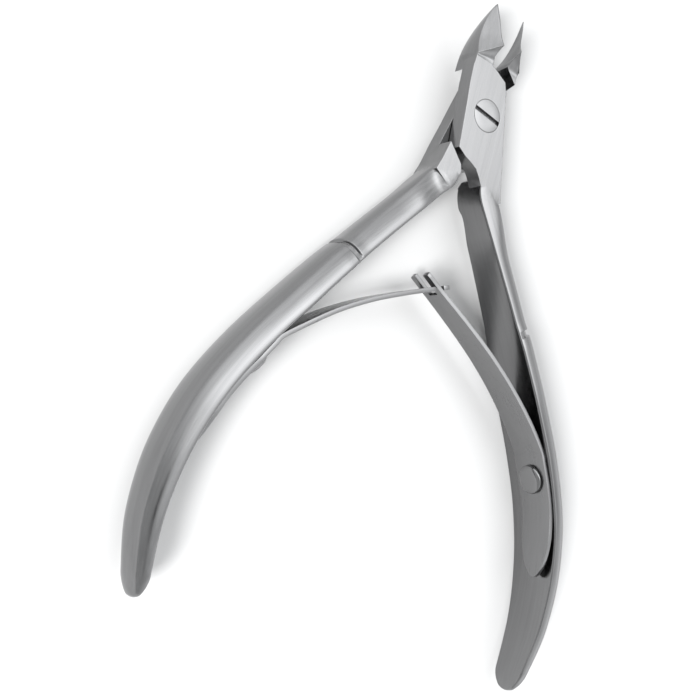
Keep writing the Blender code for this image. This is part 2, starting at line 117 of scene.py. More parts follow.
# ---------------------------------------------------------------- jaws (mm)
# control points from heel to tip of the left jaw; key 1 is the upper half's jaw, -1 the lower half's
JAW_RIDGE = {1: [(-4.6, 8.2, 2.62), (-4.7, 11.6, 1.9), (-4.15, 14.7, 1.55), (-2.84, 17.5, 1.88)],
             -1: [(-3.8, 9.0, 2.62), (-3.75, 12.0, 2.2), (-3.3, 15.0, 1.75), (-2.84, 17.5, 1.88)]}
JAW_EDGE = {1: [(-1.66, 10.4, 3.95), (-1.98, 12.8, 3.75), (-2.5, 15.4, 2.9), (-2.8, 17.6, 2.0)],
            -1: [(-1.75, 11.1, 4.0), (-2.02, 13.2, 3.75), (-2.5, 15.4, 2.9), (-2.8, 17.6, 2.0)]}
JAW_OUTER = [(-4.5, 8.8, -1.8), (-4.45, 11.6, -1.25), (-3.75, 14.9, -0.1), (-2.86, 17.5, 1.7)]
JAW_INNER = [(-1.75, 9.2, -1.8), (-3.6, 11.3, -1.3), (-3.65, 14.5, -0.1), (-2.82, 17.5, 1.78)]
JAW_ROOT_TOP = {1: -4.66, -1: -3.65}   # outer corner where the jaw leaves the lap plate
JAW_ROOT_LOW = {1: -2.05, -1: -2.67}   # underside of its root
JAW_STEPS = 40
JAW_CROWD = 1.4           # crowds the steps towards the heel
HEEL_LIP = 0.75           # rise of the cutting edge at the heel
HEEL_RUN = 0.35           # part of the edge over which it rises
RIDGE_LIP = 0.3           # share of that rise on the outer ridge
BEVEL_HOLLOW = 0.16
WALL_BELLY = 0.28
RAMP_STEPS = 18
RAMP_CROWD = 1.8          # crowds the steps towards the heel
RAMP_CURVE = 2.5          # the ramp to the heel steepens with this power
RAMP_FROM = (7.9, 8.1)    # where the ramp starts, outside and inside
RAMP_LOW = -1.92          # height of the jaw's underside there

# ---------------------------------------------------------------- spring leaves (mm)
LEAF_LENGTHS = {"tail": 15.2, "flat": 4.6}   # past the screw, and on the handle before it
LEAF_FREE = [(21.5, -40.75), (16.9, -36.95), (11.8, -33.5), (6.2, -30.35), (0.0, -27.2), (-2.5, -25.95)]
LEAF_PAST = 2.8           # length beyond the crossing
LEAF_TIP_HALF = 2.0       # half widths: at the tip, at the root and in the tail
LEAF_ROOT_HALF = 3.1
LEAF_TAIL_HALF = 2.9
TONGUE = 7.0              # length of the tail's rounded end
LEAF_LEAN = {1: (1.7, 1.2, 0.0), -1: (0.2, 1.4, 0.0)}   # height of the middle at tail, screw and crossing
TAIL_AIR = {1: 0.75, -1: 0.2}   # how far the tail's end stands off its handle
FORK_HALF_GAP = 0.9
FORK_DEPTH = 1.0
NECK_HALF = 0.6
NECK_ENDS = (-0.95, 0.6)  # where the neck starts and ends, from the crossing
TONGUE_END = 1.8          # end of the T-shaped tip, from the crossing

LEAF_EDGE = 0.12          # radius of its rolled edges

# ---------------------------------------------------------------- steels
# colour, roughness, strength of the grinding lines, radius the edges seem to have (mm)
SATIN = ((0.216, 0.216, 0.218), 0.20, 0.55, 0.13)
POLISHED = ((0.226, 0.226, 0.228), 0.18, 0.08, 0.08)
ROLLED = ((0.228, 0.228, 0.230), 0.30, 0.24, 0.06)

# ---------------------------------------------------------------- camera and light
# where the camera stands from the pivot (mm), its turn (degrees) and its lens (mm)
CAMERA_AT = (-98.4, -75.1, 133.4)
CAMERA_TURN = (1.857, -35.117, 18.214)
CAMERA_LENS = 60.5

# level of the room, then (direction, tightness, strength) of each softbox or dark flag around it
ROOM_LEVEL = 0.80
SOFTBOXES = [((0.05, 0.40, 0.915), 12.0, 2.45), ((-0.583, 0.694, 0.423), 10.0, 1.58),
             ((0.30, 0.30, 0.906), 30.0, 1.9), ((0.52, 0.40, 0.755), 50.0, 2.05),
             ((-0.33, 0.45, 0.83), 30.0, 1.5), ((0.981, 0.173, 0.087), 10.0, 0.90),
             ((-0.10, 0.97, 0.20), 16.0, 0.38), ((-0.37, -0.10, 0.923), 60.0, -0.90),
             ((0.664, 0.242, 0.707), 60.0, -0.80), ((0.785, -0.453, 0.423), 8.0, 1.05)]
KEY_DIRECTION = (-0.63, -0.47, 0.62)
KEY_DISTANCE = 0.8        # metres
KEY_SIZE = 0.22           # metres
KEY_POWER = 14.0          # watts
TABLE_GREY = 0.39
TABLE_HALF = 3.0          # metres


# ---------------------------------------------------------------- small helpers
def lerp(a, b, t):
    return a + (b - a) * t


def smooth(t):
    t = min(max(t, 0.0), 1.0)
    return t * t * (3.0 - 2.0 * t)


def cubic(points, t):
    """Point on the cubic curve with the given four control points."""
    a, b, c, d = (Vector(p) for p in points)
    s = 1.0 - t
    return a * s ** 3 + b * 3 * s * s * t + c * 3 * s * t * t + d * t ** 3


class Path:
    """Smooth curve through points in the nipper's plane, measured along its length."""

    def __init__(self, points, fine=24):
        pts = [Vector(p) for p in points]
        pts = [pts[0] * 2 - pts[1]] + pts + [pts[-1] * 2 - pts[-2]]
        self.points = []
        for i in range(1, len(pts) - 2):
            for k in range(fine):
                self.points.append(self.spline(pts[i - 1:i + 3], k / fine))
        self.points.append(pts[-2])
        self.along = [0.0]
        for a, b in zip(self.points, self.points[1:]):
            self.along.append(self.along[-1] + (b - a).length)
        self.length = self.along[-1]

    @staticmethod
    def spline(p, t):
        a, b, c, d = p
        return 0.5 * (b * 2 + (c - a) * t + (a * 2 - b * 5 + c * 4 - d) * t * t
                      + (b * 3 - a - c * 3 + d) * t ** 3)

    def at(self, s):
        """Position and unit tangent at distance s, both free of steps."""
        s = min(max(s, 0.0), self.length)
        i = max(int(np.searchsorted(self.along, s)) - 1, 0)
        i = min(i, len(self.along) - 2)
        t = (s - self.along[i]) / max(self.along[i + 1] - self.along[i], 1e-9)
        point = self.points[i].lerp(self.points[i + 1], t)
        return point, self.slope(i).lerp(self.slope(i + 1), t).normalized()

    def slope(self, i):
        low, high = max(i - 1, 0), min(i + 1, len(self.points) - 1)
        return (self.points[high] - self.points[low]).normalized()


HANDLE = Path(HANDLE_PATH, 40)


def eased(rows, s):
    """Row of a small table at s, with the corners between its rows rounded off."""
    keys = [row[0] for row in rows]
    result = []
    for column in range(1, len(rows[0])):
        values = [row[column] for row in rows]
        total = sum(np.interp(s + shift, keys, values) for shift in (-1.5, -0.75, 0.0, 0.75, 1.5))
        result.append(total / 5)
    return result


def new_object(name, bm, side=1, flip=1):
    """Object from a bmesh in millimetres about the pivot; side mirrors X, flip mirrors Z."""
    for vert in bm.verts:
        vert.co.x = vert.co.x * side
        vert.co.z = vert.co.z * flip
    bmesh.ops.recalc_face_normals(bm, faces=bm.faces[:])
    if bm.calc_volume(signed=True) < 0:
        bmesh.ops.reverse_faces(bm, faces=bm.faces[:])
    mesh = bpy.data.meshes.new(name)
    bm.to_mesh(mesh)
    bm.free()
    obj = bpy.data.objects.new(name, mesh)
    bpy.context.scene.collection.objects.link(obj)
    return obj


def bridge(bm, rings, fan=False):
    """Closed tube through rings of equal length, its ends flat or fanned from their middles."""
    rows = [[bm.verts.new(p) for p in ring] for ring in rings]
    count = len(rows[0])
    for low, high in zip(rows, rows[1:]):
        for i in range(count):
            j = (i + 1) % count
            bm.faces.new((low[i], low[j], high[j], high[i]))
    for row in (rows[0], rows[-1]):
        if not fan:
            bm.faces.new(row)
            continue
        middle = bm.verts.new(sum((v.co for v in row), Vector()) / count)
        for i in range(count):
            bm.faces.new((row[i], row[(i + 1) % count], middle))
    return bm


def prism(outline, z_low, z_high):
    """Upright solid over a closed outline."""
    rings = [[(x, y, z) for x, y in outline] for z in (z_low, z_high)]
    return bridge(bmesh.new(), rings)


def turned(profile, segments):
    """Solid of revolution about Z from (radius, z) pairs, the first and last being flat ends."""
    rings = []
    for radius, z in profile:
        ring = []
        for i in range(segments):
            a = 2 * math.pi * i / segments
            ring.append((radius * math.cos(a), radius * math.sin(a), z))
        rings.append(ring)
    return bridge(bmesh.new(), rings)


def cut(obj, tool, operation):
    """Joins a tool to an object or takes it away."""
    modifier = obj.modifiers.new(operation.lower() + " " + tool.name, "BOOLEAN")
    modifier.operation = operation
    modifier.solver = "EXACT"
    modifier.object = tool


def settled(obj, tools=(), sharp=28.0):
    """Applies the modifiers, removes the tools and shades smooth up to the given edge angle."""
    bpy.context.view_layer.update()
    depsgraph = bpy.context.evaluated_depsgraph_get()
    mesh = bpy.data.meshes.new_from_object(obj.evaluated_get(depsgraph))
    obj.modifiers.clear()
    obj.data = mesh
    for tool in tools:
        bpy.data.objects.remove(tool, do_unlink=True)
    bm = bmesh.new()
    bm.from_mesh(mesh)
    bmesh.ops.remove_doubles(bm, verts=bm.verts[:], dist=0.0005)
    for face in bm.faces:
        face.smooth = True
    for edge in bm.edges:
        if len(edge.link_faces) == 2:
            edge.smooth = edge.calc_face_angle(0.0) < math.radians(sharp)
    bm.to_mesh(mesh)
    bm.free()
    return obj


def in_frame(obj):
    """Moves a finished piece from millimetres about the pivot to the frame."""
    obj.data.transform(Matrix.Translation(PIVOT) @ Matrix.Scale(MM, 4))
    return obj


# ---------------------------------------------------------------- the two halves
def handle_section(width, depth, groove, square, plate_side, arc=56):
    """D-shaped ring: flat towards the other handle, round on the outside, as (z, depth) pairs.

    Near the joint it is squarer on the side of the lap plate, so that the plate runs on into the shank.
    """
    edge = HANDLE_EDGE
    half_width = width / 2
    turns = [math.pi * i / 10 for i in range(1, 5)]
    corner = [(edge * math.sin(turn), edge * (1 - math.cos(turn))) for turn in turns]
    ring = [(lerp(half_width - edge, edge - half_width, i / 6), 0.0) for i in range(7)]
    ring += [(edge - half_width - across, deep) for across, deep in corner]
    for i in range(arc + 1):
        a = math.pi * (1.0 - i / arc)
        power = SECTION_POWER - square * SQUARE_POWER[1 if math.cos(a) * plate_side > 0 else -1]
        sunk = groove * smooth(5.0 * math.sin(a))
        z = (half_width - sunk) * math.copysign(abs(math.cos(a)) ** power, math.cos(a))
        ring.append((z, edge + (depth - sunk - edge) * max(math.sin(a), 0.0) ** power))
    ring += [(half_width - edge + across, deep) for across, deep in reversed(corner)]
    return ring


def groove_depth(s):
    """Depth of the ring groove, with rounded lips."""
    off = abs(s - GROOVE_S) - 0.5 * GROOVE_W
    return GROOVE_D * (1.0 - smooth((off + 0.5 * GROOVE_LIP) / GROOVE_LIP))


def handle_stations(length):
    """Distances of the sections: close together at the root, the groove and the rounded end."""
    pitch = 0.6
    near = [GROOVE_S + i * 0.06 for i in range(-14, 15)]
    body = [pitch * i for i in range(5, int((length - END_ROUND) / pitch)) if abs(pitch * i - GROOVE_S) > 1.1]
    root = [ROOT_ROUND[0] * (1.0 - math.cos(math.pi / 2 * i / 16)) - ROOT_REACH for i in range(17)]
    end = [length - END_ROUND * (1.0 - math.sin(math.pi / 2 * i / 20)) for i in range(0, 20)]
    return sorted(root + near + body + end) + [length - 0.004]


def ramp_up(s, zone):
    """Smooth step from 0 to 1 over a zone given as (start, length)."""
    return smooth((s - zone[0]) / zone[1])


def handle_mesh(plate_side):
    """Right handle swept along its flat inner face, its root and end rounded."""
    rings = []
    for s in handle_stations(HANDLE.length):
        width, depth = eased(HANDLE_SIZE, s)
        point, tangent = HANDLE.at(s)
        outward = Vector((-tangent.y, tangent.x))
        closing = max(0.0, 1.0 - (HANDLE.length - s) / END_ROUND)
        shrink = math.sqrt(max(1.0 - closing * closing, 0.0004))
        point = point + tangent * min(s, 0.0)
        root = max(0.0, 1.0 - (s + ROOT_REACH) / ROOT_ROUND[0])
        inset = ROOT_ROUND[1] * (1.0 - math.sqrt(1.0 - root * root))
        hollow = 1.0 - ROOT_STEP * ramp_up(s, ROOT_STEP_IN) * (1.0 - ramp_up(s, ROOT_STEP_OUT))
        ring = []
        for z, n in handle_section(width, depth, groove_depth(s), 1.0 - ramp_up(s, SQUARE_FADE), plate_side):
            n = inset + n * (depth - inset) / depth
            n = lerp(END_DEEP * depth, n, shrink)
            if z * plate_side < 0:
                z *= hollow
            ring.append((point.x + outward.x * n, point.y + outward.y * n, z * shrink))
        rings.append(ring)
    return bridge(bmesh.new(), rings, fan=True)


def jaw_ring(ridge, edge, inner, outer, hollow, belly, fine=8):
    """Ring of a jaw from its outer bottom corner, up the wall, over the front bevel and back inside."""
    outer, ridge, edge, inner = Vector(outer), Vector(ridge), Vector(edge), Vector(inner)
    ring = []
    sides = ((outer, ridge, Vector((-belly * 4, 0, 0))), (ridge, edge, Vector((0, 0, -hollow * 4))),
             (edge, inner, Vector((-belly * 3, 0, 0))))
    for start, end, bulge in sides:
        for i in range(fine):
            t = i / fine
            ring.append(start.lerp(end, t) + bulge * (t * (1 - t)))
    ring.append(inner)
    return ring


def jaw_root_rings(side):
    """Two rings buried in the lap plate."""
    top = JOINT_HALF - 0.03
    wide = JAW_ROOT_TOP[side]
    low = JAW_ROOT_LOW[side]
    return [
        jaw_ring((wide, 5.0, top), (-1.3, 5.0, top), (-1.3, 5.0, low), (-4.4, 5.0, low), 0, 0),
        jaw_ring((wide, 6.6, top), (-1.3, 7.0, top), (-1.3, 7.0, low), (-4.45, 6.6, low), 0, 0),
    ]


def jaw_mesh(side):
    """Left jaw, swept from its root in the lap plate up the hollow ramp to the heel and out to the tip."""
    top = JOINT_HALF - 0.03
    lean = math.tan(JAW_ANGLE)
    wide = JAW_ROOT_TOP[side]
    ridge = JAW_RIDGE[side]
    edge = JAW_EDGE[side]
    heel = Vector(edge[0])
    shoulder = ridge[0][2]
    outer_from, inner_from = RAMP_FROM
    rings = jaw_root_rings(side)
    for i in range(RAMP_STEPS):
        t = 1.0 - (1.0 - i / RAMP_STEPS) ** RAMP_CROWD
        level = lerp(top, shoulder, t)
        rise = (heel.z + HEEL_LIP - shoulder) * t ** RAMP_CURVE
        inner_y = lerp(inner_from, heel.y, t)
        ridge_at = (lerp(wide + 0.05, ridge[0][0], t), lerp(outer_from, ridge[0][1], t), level)
        edge_at = (-inner_y * lean, inner_y, level + rise)
        inner_at = (lerp(-inner_from * lean, JAW_INNER[0][0], t), lerp(inner_from, JAW_INNER[0][1], t),
                    lerp(RAMP_LOW, JAW_INNER[0][2], t))
        outer_at = (JAW_OUTER[0][0], lerp(outer_from, JAW_OUTER[0][1], t), lerp(RAMP_LOW, JAW_OUTER[0][2], t))
        rings.append(jaw_ring(ridge_at, edge_at, inner_at, outer_at, BEVEL_HOLLOW * t, WALL_BELLY * t))
    for i in range(JAW_STEPS + 1):
        t = (i / JAW_STEPS) ** JAW_CROWD
        lip = Vector((0.0, 0.0, HEEL_LIP * max(0.0, 1.0 - t / HEEL_RUN) ** 2))
        rings.append(jaw_ring(cubic(ridge, t) + lip * RIDGE_LIP, cubic(edge, t) + lip, cubic(JAW_INNER, t),
                              cubic(JAW_OUTER, t), BEVEL_HOLLOW * (1 - t), WALL_BELLY * (1 - t)))
    bm = bridge(bmesh.new(), rings, fan=True)
    bmesh.ops.triangulate(bm, faces=bm.faces[:])
    return bm


def wall_cutter():
    """Everything under the joint plane that lies behind the jaw block's end wall."""
    low, high = Vector(JAW_WALL[0]), Vector(JAW_WALL[1])
    run = (high - low).normalized()
    a = low - run * 6.0
    b = high + run * 4.0
    return prism([tuple(a), tuple(b), (5.0, b.y), (5.0, a.y)], -6.0, LAP_GAP + 0.3)


def half(name, side):
    """side +1: right handle, upper lap plate and left jaw. side -1: its opposite number."""
    body = new_object(name, handle_mesh(side), side)
    plate = new_object(name + "_plate", prism(PLATE, LAP_GAP, JOINT_HALF), side, side)
    block = new_object(name + "_block", prism(SHANK_BLOCK, -JOINT_HALF, JOINT_HALF), side, side)
    jaw = new_object(name + "_jaw", jaw_mesh(side), side)
    wall = new_object(name + "_wall", wall_cutter(), side, side)
    hole_r = SCREW_R + SCREW_CLEAR
    hole = new_object(name + "_hole", turned([(hole_r, -9.0), (hole_r, 9.0)], 72))
    tools = [plate, block, jaw, wall, hole]
    cut(jaw, wall, "DIFFERENCE")
    for tool in (plate, block, jaw):
        cut(body, tool, "UNION")
    cut(body, hole, "DIFFERENCE")
    if side > 0:
        sink_r = SCREW_HEAD_R + SINK_CLEAR
        profile = [(sink_r, JOINT_HALF - SCREW_HEAD_T - SCREW_CLEAR), (sink_r, JOINT_HALF - 0.02),
                   (sink_r + 0.015, JOINT_HALF + 0.02), (sink_r + 0.015, 9.0)]
        sink = new_object(name + "_sink", turned(profile, 96))
        tools.append(sink)
        cut(body, sink, "DIFFERENCE")
    pocket_r = SPRING_SHANK_R + SCREW_CLEAR
    pocket = turned([(pocket_r, -0.5), (pocket_r, SPRING_SHANK_L + 0.15)], 40)
    tools.append(placed(pocket, name + "_pocket", side))
    cut(body, tools[-1], "DIFFERENCE")
    return settled(body, tools)


# ---------------------------------------------------------------- screws and leaves
def screw_frame(side):
    """Matrix whose +Z looks into the right handle where its spring screw sits."""
    point, tangent = HANDLE.at(SPRING_SCREW_S[side])
    into = Vector((-tangent.y, tangent.x, 0.0))
    along = Vector((tangent.x, tangent.y, 0.0))
    across = into.cross(along)
    rotation = Matrix((along, across, into)).transposed().to_4x4()
    return Matrix.Translation(Vector((point.x, point.y, LEAF_LEAN[side][1]))) @ rotation


def placed(bm, name, side):
    """Object drawn in the spring screw's frame on the right handle and mirrored to its own side."""
    bmesh.ops.transform(bm, matrix=screw_frame(side), verts=bm.verts[:])
    return new_object(name, bm, side)


def pivot_screw():
    """Flush slotted screw, its head's rim and its shank's end slightly rounded."""
    top = JOINT_HALF + 0.02
    under = JOINT_HALF - SCREW_HEAD_T
    profile = [(SCREW_R - 0.15, -JOINT_HALF + 0.02), (SCREW_R - 0.04, -JOINT_HALF + 0.06),
               (SCREW_R, -JOINT_HALF + 0.17), (SCREW_R, under), (SCREW_HEAD_R - 0.08, under),
               (SCREW_HEAD_R, under + 0.08), (SCREW_HEAD_R, top - 0.05), (SCREW_HEAD_R - 0.02, top - 0.02),
               (SCREW_HEAD_R - 0.06, top - 0.005), (SCREW_HEAD_R - 0.1, top), (1.2, top), (0.2, top)]
    screw = new_object("pivot_screw_visual", turned(profile, 120))
    width, depth = SCREW_SLOT
    floor, mouth = SLOT_FLARE
    levels = ((floor * width, top - depth), (mouth * width, top + 0.02))
    corners = ((-4, -1), (4, -1), (4, 1), (-4, 1))
    bar = bridge(bmesh.new(), [[(x, y * wide, z) for x, y in corners] for wide, z in levels])
    bmesh.ops.transform(bar, matrix=Matrix.Rotation(SCREW_SLOT_ANGLE, 4, "Z"), verts=bar.verts[:])
    tool = new_object("pivot_slot", bar)
    cut(screw, tool, "DIFFERENCE")
    return settled(screw, [tool])


def spring_screw(name, side):
    """Low round head with a soft rim, on a shank in the handle."""
    base = -(SPRING_OFF * 2 + SPRING_T)
    top = base - SPRING_HEAD_T
    r = SPRING_HEAD_R
    rim, drop = SPRING_RIM
    profile = [(0.3, top), (r - rim, top)]
    for i in range(1, 9):
        a = math.pi / 2 * i / 8
        profile.append((r - rim + rim * math.sin(a), top + drop * (1 - math.cos(a))))
    profile += [(r, base - 0.06), (r - 0.06, base), (SPRING_SHANK_R, base), (SPRING_SHANK_R, SPRING_SHANK_L)]
    return settled(placed(turned(profile, 80), name, side), sharp=50)


def leaf_path(side):
    """Outer (handle side) face of a leaf, from its tail end to past the crossing, as on the right."""
    points = []
    tail = SPRING_SCREW_S[side] + LEAF_LENGTHS["tail"]
    flat = SPRING_SCREW_S[side] - LEAF_LENGTHS["flat"]
    steps = 12
    for i in range(steps + 1):
        s = lerp(tail, flat, i / steps)
        point, tangent = HANDLE.at(s)
        away = SPRING_OFF + TAIL_AIR[side] * smooth((s - SPRING_SCREW_S[side] - 4.0) / 9.0)
        points.append((point.x + tangent.y * away, point.y - tangent.x * away))
    return Path(points + LEAF_FREE, 16)


def tongue_half(s):
    """Half width of the rounded tongue at a leaf's tail, at distance s from its end."""
    left = 1.0 - s / TONGUE
    return 0.15 + (LEAF_TAIL_HALF - 0.15) * (1.0 - left * left) ** 0.6


def leaf_rows(path, forked):
    """Stations along a leaf: distance, half width, and which of its three strips are solid before it."""
    crossing = path.length - LEAF_PAST
    screw = LEAF_LENGTHS["tail"]
    clamped = 3.0
    rows = []
    for i in range(17):
        s = TONGUE * (1 - math.cos(math.pi / 2 * i / 16))
        rows.append((s, tongue_half(s), "all"))
    for i in range(1, 25):
        t = i / 24
        rows.append((lerp(TONGUE, screw, t), lerp(LEAF_TAIL_HALF, LEAF_ROOT_HALF, smooth(t)), "all"))
    for i in range(1, 7):
        rows.append((screw + clamped * i / 6, LEAF_ROOT_HALF, "all"))
    last = crossing - FORK_DEPTH if forked else crossing + NECK_ENDS[0]
    for i in range(1, 61):
        t = i / 60
        rows.append((lerp(screw + clamped, last, t), lerp(LEAF_ROOT_HALF, LEAF_TIP_HALF, t), "all"))
    if forked:
        end, kind = path.length, "sides"
        for i in range(1, 9):
            rows.append((lerp(last, end - 0.3, i / 8), LEAF_TIP_HALF, kind))
    else:
        end, kind = crossing + TONGUE_END, "all"
        for i in range(1, 5):
            rows.append((lerp(last, crossing + NECK_ENDS[1], i / 4), LEAF_TIP_HALF, "middle"))
        rows.append((crossing + NECK_ENDS[1] + 0.3, LEAF_TIP_HALF, kind))
        rows.append((end - 0.3, LEAF_TIP_HALF, kind))
    rows.append((end - 0.08, LEAF_TIP_HALF - 0.09, kind))
    rows.append((end, LEAF_TIP_HALF - 0.3, kind))
    return rows


def leaf_mesh(path, side):
    """Bent strip built cell by cell, with the fork or the T-shaped tongue at its end."""
    bm = bmesh.new()
    forked = side > 0
    screw = LEAF_LENGTHS["tail"]
    crossing = path.length - LEAF_PAST
    at_tail, at_screw, at_crossing = LEAF_LEAN[side]
    gap = FORK_HALF_GAP if forked else NECK_HALF
    rows = leaf_rows(path, forked)
    grid = []
    for s, wide, _ in rows:
        point, tangent = path.at(s)
        inward = Vector((-tangent.y, tangent.x))
        if s < screw:
            lean = lerp(at_tail, at_screw, s / screw)
        else:
            lean = lerp(at_screw, at_crossing, min((s - screw) / (crossing - screw), 1.0))
        inner = min(gap, wide * 0.6)
        columns = [lean - wide, lean - inner, lean + inner, lean + wide]
        faces = []
        for n in (0.0, SPRING_T):
            faces.append([bm.verts.new((point.x + inward.x * n, point.y + inward.y * n, z)) for z in columns])
        grid.append(faces)
    solid = {}
    for i in range(len(rows) - 1):
        for j in range(3):
            kind = rows[i + 1][2]
            solid[i, j] = kind == "all" or (kind == "middle") == (j == 1)
    for (i, j), is_solid in solid.items():
        if not is_solid:
            continue
        for k in (0, 1):
            bm.faces.new((grid[i][k][j], grid[i][k][j + 1], grid[i + 1][k][j + 1], grid[i + 1][k][j]))
        walls = {(i - 1, j): ((i, j), (i, j + 1)), (i + 1, j): ((i + 1, j), (i + 1, j + 1)),
                 (i, j - 1): ((i, j), (i + 1, j)), (i, j + 1): ((i, j + 1), (i + 1, j + 1))}
        for neighbour, (a, b) in walls.items():
            if solid.get(neighbour, False):
                continue
            under, over = ([grid[row][face][column] for row, column in (a, b)] for face in (0, 1))
            bm.faces.new((under[0], under[1], over[1], over[0]))
    bmesh.ops.delete(bm, geom=[v for v in bm.verts if not v.link_faces], context="VERTS")
    return bm


def spring_leaf(name, side):
    """One leaf with rolled edges and its screw hole."""
    leaf = new_object(name, leaf_mesh(leaf_path(side), side), side)
    rounded = leaf.modifiers.new("rolled edges", "BEVEL")
    rounded.width = LEAF_EDGE
    rounded.segments = 3
    rounded.angle_limit = math.radians(50)
    hole_r = SPRING_SHANK_R + SCREW_CLEAR
    hole = placed(turned([(hole_r, -3.0), (hole_r, 1.0)], 40), name + "_hole", side)
    cut(leaf, hole, "DIFFERENCE")
    return settled(leaf, [hole])


# ---------------------------------------------------------------- materials
def grain_coordinates(obj, side):
    """Stores (along the piece, across it, height) in millimetres, so that grinding lines follow the bends."""
    co = np.array([v.co for v in obj.data.vertices])
    flat = np.stack([co[:, 0] * side, co[:, 1]], axis=1)
    points = np.array([tuple(p) for p in HANDLE.points])
    slopes = np.array([tuple(HANDLE.slope(i)) for i in range(len(points))])
    nearest = np.zeros(len(flat), int)
    for start in range(0, len(flat), 4000):
        block = flat[start:start + 4000, None, :] - points[None]
        nearest[start:start + 4000] = (block ** 2).sum(2).argmin(1)
    off = flat - points[nearest]
    slope = slopes[nearest]
    along = np.array(HANDLE.along)[nearest] + (off * slope).sum(1)
    across = off[:, 0] * -slope[:, 1] + off[:, 1] * slope[:, 0]
    root_y = HANDLE_PATH[0][1]
    in_joint = flat[:, 1] > root_y - 0.2
    along[in_joint] = root_y - flat[in_joint, 1]
    across[in_joint] = flat[in_joint, 0]
    values = np.stack([along, across, co[:, 2]], axis=1).astype(np.float32)
    attribute = obj.data.attributes.new("grain", "FLOAT_VECTOR", "POINT")
    attribute.data.foreach_set("vector", values.ravel())


class Nodes:
    """Short way to write a node tree."""

    def __init__(self, name):
        self.material = bpy.data.materials.new(name)
        self.material.use_nodes = True
        self.tree = self.material.node_tree
        self.shader = self.tree.nodes["Principled BSDF"]

    def add(self, kind, settings=None, **inputs):
        node = self.tree.nodes.new("ShaderNode" + kind)
        for key, value in (settings or {}).items():
            setattr(node, key, value)
        for key, value in inputs.items():
            self.set(node, key.replace("_", " "), value)
        return node

    def set(self, node, key, value):
        socket = node.inputs[int(key)] if key.isdigit() else node.inputs[key]
        if isinstance(value, bpy.types.NodeSocket):
            self.tree.links.new(value, socket)
        else:
            socket.default_value = value

    def math(self, operation, a, b=0.0, c=None, clamp=False):
        node = self.tree.nodes.new("ShaderNodeMath")
        node.operation = operation
        node.use_clamp = clamp
        self.set(node, "0", a)
        self.set(node, "1", b)
        if c is not None:
            self.set(node, "2", c)
        return node.outputs[0]

    def centred(self, value, gain):
        """A noise between 0 and 1, turned into one about 0 with the given swing."""
        return self.math("MULTIPLY", self.math("SUBTRACT", value, 0.5), gain)

    def noise(self, vector, scale, detail=3.0, roughness=0.55):
        mapping = self.add("Mapping", Vector=vector, Scale=scale)
        node = self.add("TexNoise", Vector=mapping.outputs[0], Scale=1.0, Detail=detail, Roughness=roughness)
        return node.outputs["Fac"]


def steel(name, colour, roughness, line, edge_radius):
    """Ground steel: lines along the grain, soft blotches, and edges painted paler in patches as a highlight.

    line sets how strong the grinding lines are and edge_radius (mm) how round the edges look.
    """
    n = Nodes(name)
    grain = n.add("Attribute", {"attribute_name": "grain"}).outputs["Vector"]
    fine = n.noise(grain, (0.10, 9.0, 9.0), 3.0, 0.6)
    broad = n.noise(grain, (0.04, 1.6, 1.6), 3.0, 0.6)
    blotch = n.noise(grain, (0.16, 0.22, 0.22), 4.0, 0.55)
    edge_patches = n.noise(grain, (0.7, 2.4, 2.4), 5.0, 0.65)

    # where a wide bevel turns the surface away from its face lies an edge, taken in patches: there the colour
    # is painted paler as a highlight and the roughness drops
    soft = n.add("Bevel", {"samples": 4}, Radius=edge_radius * MM)
    wide = n.add("Bevel", {"samples": 4}, Radius=2.4 * edge_radius * MM)
    face = n.add("NewGeometry")
    dot = n.add("VectorMath", {"operation": "DOT_PRODUCT"})
    n.set(dot, "0", wide.outputs[0])
    n.set(dot, "1", face.outputs["Normal"])
    edge = n.math("SUBTRACT", 1.0, dot.outputs["Value"])
    edge = n.math("MULTIPLY", edge, n.math("MULTIPLY_ADD", edge_patches, 9.0, 0.5), clamp=True)

    tint = n.math("MULTIPLY_ADD", blotch, 0.10, 0.90)
    streaks = n.math("ADD", n.math("MULTIPLY", fine, 0.5), n.math("MULTIPLY", broad, 1.5))
    lines = n.math("MULTIPLY_ADD", streaks, 0.5 * line, 1.0 - 0.5 * line)
    # painted highlight: the base colour is up to 22 percent paler along the edges
    painted_edge_highlight = n.math("MULTIPLY_ADD", edge, 0.22, 1.0)
    shade = n.math("MULTIPLY", n.math("MULTIPLY", tint, lines), painted_edge_highlight)
    mix = n.add("Mix", {"data_type": "RGBA", "blend_type": "MULTIPLY"})
    mix.inputs[0].default_value = 1.0
    mix.inputs[6].default_value = (*colour, 1.0)
    grey = n.add("CombineColor", Red=shade, Green=shade, Blue=shade)
    n.tree.links.new(grey.outputs[0], mix.inputs[7])
    n.set(n.shader, "Base Color", mix.outputs[2])
    n.shader.inputs["Metallic"].default_value = 1.0

    rough = n.math("MULTIPLY_ADD", blotch, 0.14, roughness - 0.07)
    rough = n.math("ADD", rough, n.centred(fine, 0.10))
    rough = n.math("ADD", rough, n.centred(broad, 0.4 * line))
    rough = n.math("SUBTRACT", rough, n.math("MULTIPLY", edge, 0.06))
    n.set(n.shader, "Roughness", rough)

    height = n.math("ADD", fine, n.math("MULTIPLY", broad, 1.5))
    bump = n.add("Bump", Strength=0.35, Distance=line * 0.000013, Height=height, Normal=soft.outputs[0])
    n.set(n.shader, "Normal", bump.outputs[0])
    return n.material


def table_top():
    """Matt, almost even grey that the light turns white."""
    n = Nodes("pale_table")
    place = n.add("TexCoord").outputs["Object"]
    cloud = n.noise(place, (9.0, 9.0, 9.0), 3.0)
    level = n.math("MULTIPLY_ADD", cloud, 0.02, TABLE_GREY)
    n.set(n.shader, "Base Color", n.add("CombineColor", Red=level, Green=level, Blue=level).outputs[0])
    n.shader.inputs["Roughness"].default_value = 0.75
    n.shader.inputs["Specular IOR Level"].default_value = 0.2
    return n.material


